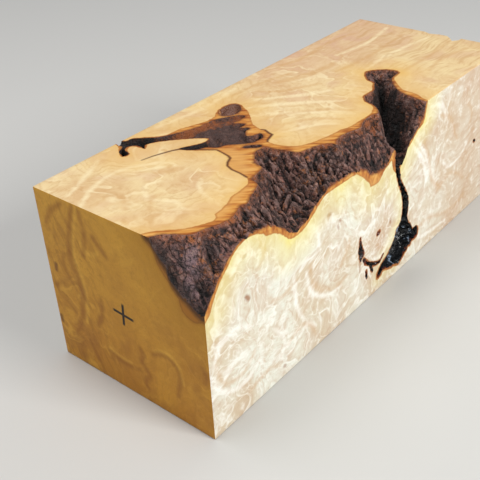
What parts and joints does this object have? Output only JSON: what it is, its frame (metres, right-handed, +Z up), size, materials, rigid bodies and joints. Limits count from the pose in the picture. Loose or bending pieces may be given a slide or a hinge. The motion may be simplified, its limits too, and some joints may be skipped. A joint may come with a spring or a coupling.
{
  "type": "maple burl block",
  "caption": "Block sawn square from a maple burl, with natural bark left along one long edge, bark pockets in its top and a crack down to a black knot.",
  "frame": {"origin": "centre of the block's plan, on the flat sawn face that it rests on", "axes": "+X along the length, away from the end where the bark reaches the corner; the bark slope is at the -Y side of the top; +Z up"},
  "size_m": [0.272, 0.1, 0.097],
  "materials": {
    "burl_wood": "sawn, matt, curly and swirled figure",
    "bark": "rough natural bark"
  },
  "bodies": {
    "root": {"maple_burl_block": "burl_wood"}
  },
  "joints": []
}
